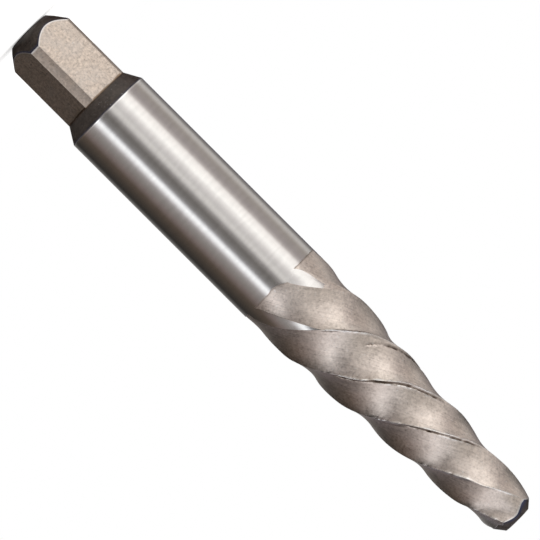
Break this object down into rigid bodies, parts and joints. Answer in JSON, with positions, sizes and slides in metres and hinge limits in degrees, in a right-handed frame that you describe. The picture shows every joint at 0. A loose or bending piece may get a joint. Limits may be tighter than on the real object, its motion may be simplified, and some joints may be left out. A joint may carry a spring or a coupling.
{
  "type": "screw extractor",
  "caption": "Tapered steel bar with left-hand spiral flutes that bite into a drilled broken screw, a round shank and a square drive end for a tap wrench.",
  "frame": {"origin": "centre of the flat end face of the drive square, on which the tool stands", "axes": "+Z along the tool's axis from the drive end to the tip; X and Y are square to the flats of the drive"},
  "size_m": [0.012, 0.012, 0.0865],
  "materials": {
    "steel": "ground shank, satin flutes, dull blasted drive square"
  },
  "bodies": {
    "root": {"extractor": "steel"}
  },
  "joints": []
}
